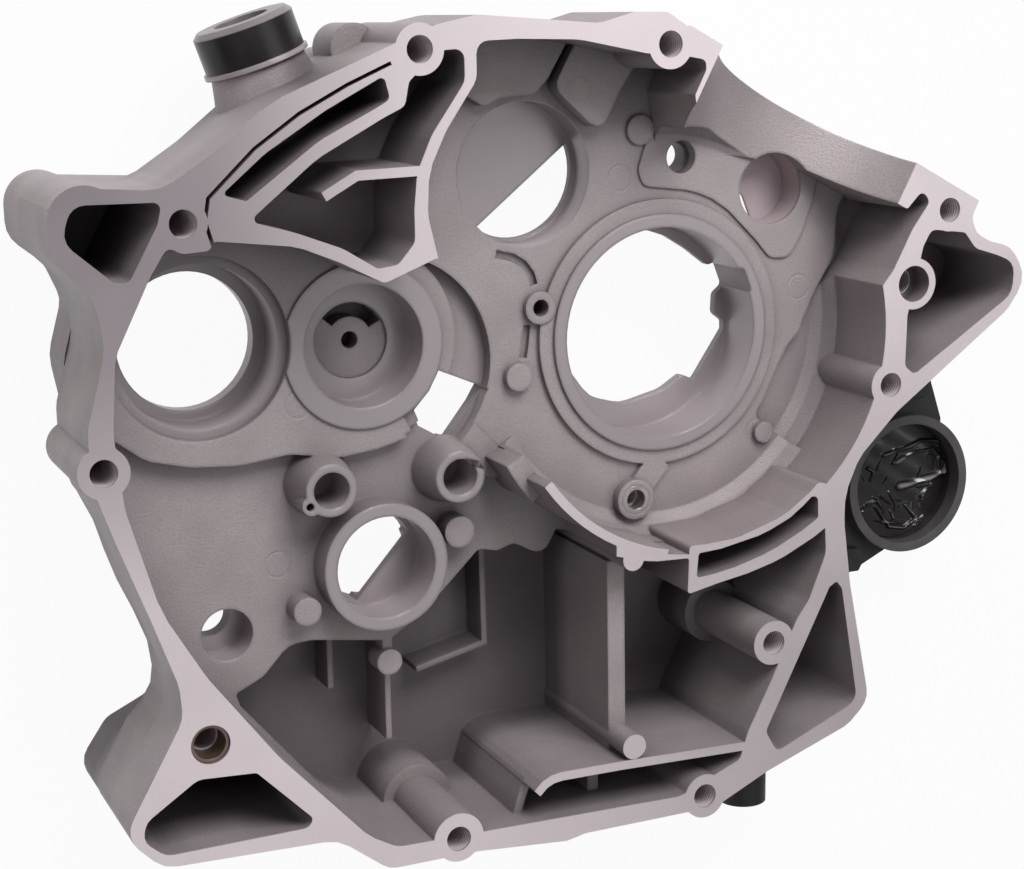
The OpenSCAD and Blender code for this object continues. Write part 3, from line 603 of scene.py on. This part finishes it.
# each fitting: its slot, colour, roughness, metallic, grain in cells per metre, the grain's
# depth in metres, and the zone of another colour, if there is one
FITTINGS = {
    "breather_union": (
        "black_metal", srgb(36, 33, 35), 0.34, 0.3, 700, 0.00004, (union_light_zone, LIGHT_STEEL)),
    "dowel_sleeve": ("sleeve_steel", srgb(132, 112, 98), 0.4, 0.7, 900, 0.00004, None),
    "retainer_insert": ("insert_steel", srgb(190, 184, 182), 0.3, 0.8, 900, 0.00003, None),
    "starter_socket": (
        "black_plastic", srgb(84, 80, 81), 0.5, 0.0, 1500, 0.00006, (socket_low, PLATE_BLACK)),
    "socket_screws": ("screw_steel", srgb(60, 58, 60), 0.35, 0.6, 900, 0.00003, None),
    "drain_foot": ("black_rubber", srgb(48, 46, 47), 0.6, 0.0, 1200, 0.00008, None),
}


def plain_finish(slot, colour, roughness, metallic, grain_scale, grain_depth, zone):
    """A finish of one colour whose gloss and surface break up a little."""
    paint = Paint(slot)
    places = Places(paint)
    cloud = noise(paint, places, 120.0, 3.0)
    grain = noise(paint, places, grain_scale, 2.0)
    edge = paint.add("ShaderNodeBevel", {"samples": 2}, {"Radius": EDGE_ROUNDING})
    values = {"Strength": 0.6, "Distance": grain_depth, "Height": grain, "Normal": edge}
    bump = paint.add("ShaderNodeBump", {}, values)
    darker = tuple(0.6 * part for part in colour)
    tone = paint.mix((cloud * 1.6 - 0.4).clamp(), darker, colour)
    if zone:
        mask, other = zone
        tone = paint.mix(mask(places), tone, other)
    paint.surface(
        Base_Color=tone,
        Roughness=(cloud - 0.5) * 0.25 + roughness,
        Metallic=metallic,
        Normal=bump,
    )
    return paint.material


for name, finish in FITTINGS.items():
    dress(name, plain_finish(*finish))
print("dressed:", ", ".join(FITTINGS))

# %% [markdown]
# A crumpled black film lies in the socket. Crumpled film is made of flat
# facets that meet at straight creases, so its height is a sum of tents, each
# a ridge along a line. A few broad ones give the facets. The folds that catch
# the light run along drawn paths: a long loop on the right, and a small
# triangle at the bottom. Its crests are painted pale, a painted highlight, so
# the colour follows the height. A cloth simulation would give soft folds instead.

# %% Crumpled film in the socket
FILM_RINGS = 120
FILM_SPOKES = 300
FACETS = 7
# the room for the film under the socket's mouth, and the height where the painted highlight on the
# crests begins
FILM_ROOM = 3.4
HIGHLIGHT_Z = 1.4
SMALL_CREASES = 26
SMALL_HALF_WIDTH = 0.55
# how much the ripple takes off and adds, and its waves in radians per millimetre
RIPPLE = 0.2
WAVE_X, WAVE_Y = 0.45, 0.7
# paths of the folds in millimetres, with the half width and the height of each crest
FOLDS = [
    ([(111.2, -70.1), (118.0, -69.3), (124.8, -68.2), (130.7, -66.5)], 1.9, 2.4),
    ([(130.7, -66.5), (132.4, -62.0), (131.7, -57.2), (127.5, -54.0), (120.6, -53.3),
      (114.4, -55.4), (104.0, -57.3)], 1.0, 1.5),
    ([(128.5, -64.5), (129.2, -60.0), (126.5, -57.0), (118.0, -57.5), (108.0, -61.0)], 0.8, 1.0),
    ([(101.1, -77.1), (107.1, -85.2), (114.0, -86.5), (119.3, -83.2), (114.1, -77.5)], 0.9, 1.5),
    ([(104.0, -83.0), (113.0, -84.4)], 0.8, 1.2),
    ([(97.0, -76.0), (101.5, -74.6), (104.5, -79.0)], 1.0, 1.5),
    ([(109.5, -60.6), (113.0, -58.8)], 0.9, 1.6),
    ([(97.2, -61.6), (99.6, -63.2), (98.6, -66.4)], 0.9, 1.4),
    ([(120.0, -71.0), (126.0, -70.5), (121.5, -75.0)], 0.9, 1.2),
    ([(107.0, -72.0), (110.0, -77.0), (109.0, -82.0)], 0.8, 1.0),
]


def path_distance(x, y, path):
    """The distance from each point to the nearest stretch of a path."""
    nearest = np.full(x.shape, np.inf)
    for (x0, y0), (x1, y1) in zip(path[:-1], path[1:]):
        dx, dy = x1 - x0, y1 - y0
        t = np.clip(((x - x0) * dx + (y - y0) * dy) / (dx * dx + dy * dy), 0, 1)
        nearest = np.minimum(nearest, np.hypot(x - x0 - t * dx, y - y0 - t * dy))
    return nearest


def crumpled_disc(centre, radius, high, seed):
    """z(x, y) = high - room + ripple * (a broad tent per facet + a narrow tent per fold), in mm."""
    dice = np.random.default_rng(seed)
    r = np.linspace(0.0, radius, FILM_RINGS)[:, None]
    angle = np.linspace(0.0, 2 * np.pi, FILM_SPOKES, endpoint=False)[None, :]
    x = centre[0] + r * np.cos(angle)
    y = centre[1] + r * np.sin(angle)
    z = np.zeros_like(x)
    for turn, offset, width, tall in zip(
        dice.uniform(0, np.pi, FACETS),
        dice.uniform(-0.7, 0.7, FACETS) * radius,
        dice.uniform(0.35, 0.9, FACETS) * radius,
        dice.uniform(-0.35, 0.35, FACETS),
    ):
        far = np.abs((x - centre[0]) * np.cos(turn) + (y - centre[1]) * np.sin(turn) - offset)
        z += tall * np.clip(1 - far / width, 0, None)
    starts = dice.uniform(-0.75, 0.75, (SMALL_CREASES, 2)) * radius + centre
    ends = starts + dice.uniform(-4.5, 4.5, (SMALL_CREASES, 2))
    crests = dice.uniform(0.2, 1.2, SMALL_CREASES)
    small = [([a, b], SMALL_HALF_WIDTH, tall) for a, b, tall in zip(starts, ends, crests)]
    for path, width, tall in FOLDS + small:
        z += tall * np.clip(1 - path_distance(x, y, path) / width, 0, None)
    z -= z.min()
    z *= 1 - RIPPLE + RIPPLE * np.sin(WAVE_X * x + WAVE_Y * y)
    z = np.minimum(z, FILM_ROOM)
    return np.stack([x, y, high - FILM_ROOM + z], -1) * MM


def closed_disc(name, top, under):
    """A grid of rings and spokes, closed by its skirt down to a flat underside."""
    rings, spokes = top.shape[:2]
    skirt = top[-1].copy()
    skirt[:, 2] = under
    middle = np.array([[top[0, 0, 0], top[0, 0, 1], under]])
    points = np.concatenate([top[0, :1], top[1:].reshape(-1, 3), skirt, middle])
    index = np.arange(rings * spokes).reshape(rings, spokes) + 1
    here, there = index[:-1], index[1:]
    quads = np.stack([here, there, np.roll(there, -1, 1), np.roll(here, -1, 1)], -1).reshape(-1, 4)
    first, last = index[0], index[-1]
    hub = np.stack([np.zeros_like(first), first, np.roll(first, -1)], -1)
    base = np.stack([np.full_like(last, len(points) - 1), np.roll(last, -1), last], -1)
    mesh = bpy.data.meshes.new(name)
    mesh.from_pydata(points.tolist(), [], quads.tolist() + hub.tolist() + base.tolist())
    piece = bpy.data.objects.new(name, mesh)
    scene.collection.objects.link(piece)
    return piece


print("folds drawn:", len(FOLDS), "and small creases:", SMALL_CREASES)

# %% [markdown]
# The film takes the place of the plain plug in the solids, whose box gives its
# middle, its radius and its top. It hangs 0.2 mm clear of the socket's wall.

# %% The film in its place
FILM_BLACK = srgb(30, 27, 28)
FILM_HIGHLIGHT = srgb(128, 122, 124)
HIGHLIGHT_FADE = 0.9
FILM_SEED = 11
WALL_GAP = 0.2
UNDERSIDE = 1.0

plug_low, plug_high = (np.array(corner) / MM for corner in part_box("dust_plug"))
film_centre = (plug_low + plug_high)[:2] / 2
film_radius = (plug_high[0] - plug_low[0]) / 2 - WALL_GAP
film_top = crumpled_disc(film_centre, film_radius, plug_high[2], FILM_SEED)
film = closed_disc("film", film_top, (plug_low[2] + UNDERSIDE) * MM)
film_paint = Paint("black_film")
film_places = Places(film_paint)
# painted highlight on the crests of the film
highlight_z = plug_high[2] - FILM_ROOM + HIGHLIGHT_Z
crest_highlight = film_places.above(film_places.z, highlight_z, HIGHLIGHT_FADE)
film_tone = film_paint.mix(crest_highlight, FILM_BLACK, FILM_HIGHLIGHT)
film_paint.surface(Base_Color=film_tone, Roughness=0.24, Coat_Weight=0.3)
film.data.materials.append(film_paint.material)
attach(film, "root")
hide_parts("dust_plug")
print("film has", len(film.data.polygons), "faces")
